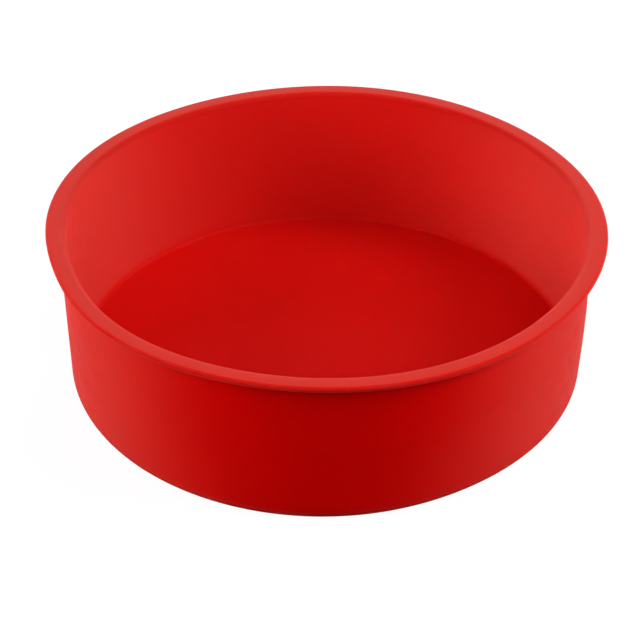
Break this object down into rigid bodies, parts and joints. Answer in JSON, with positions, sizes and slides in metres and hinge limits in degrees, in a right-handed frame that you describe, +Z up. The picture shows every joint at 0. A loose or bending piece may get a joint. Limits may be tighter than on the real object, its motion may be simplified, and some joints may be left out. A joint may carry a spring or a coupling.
{
  "type": "mousse cake mould",
  "caption": "Round flexible silicone cake mould with a flat floor, rounded base corner, thin upright wall and narrow out-turned rim, open at the top to bake, set and turn out a cake.",
  "frame": {"origin": "centre of the flat underside, on the surface that the mould stands on", "axes": "+Z up along the axis of revolution, towards the open mouth; +X and +Y are alike"},
  "size_m": [0.216, 0.216, 0.066],
  "materials": {
    "red_silicone": "satin moulded silicone"
  },
  "bodies": {
    "root": {"floor_panel": "red_silicone", "base_corner": "red_silicone", "side_wall": "red_silicone", "rim_flange": "red_silicone"}
  },
  "joints": []
}
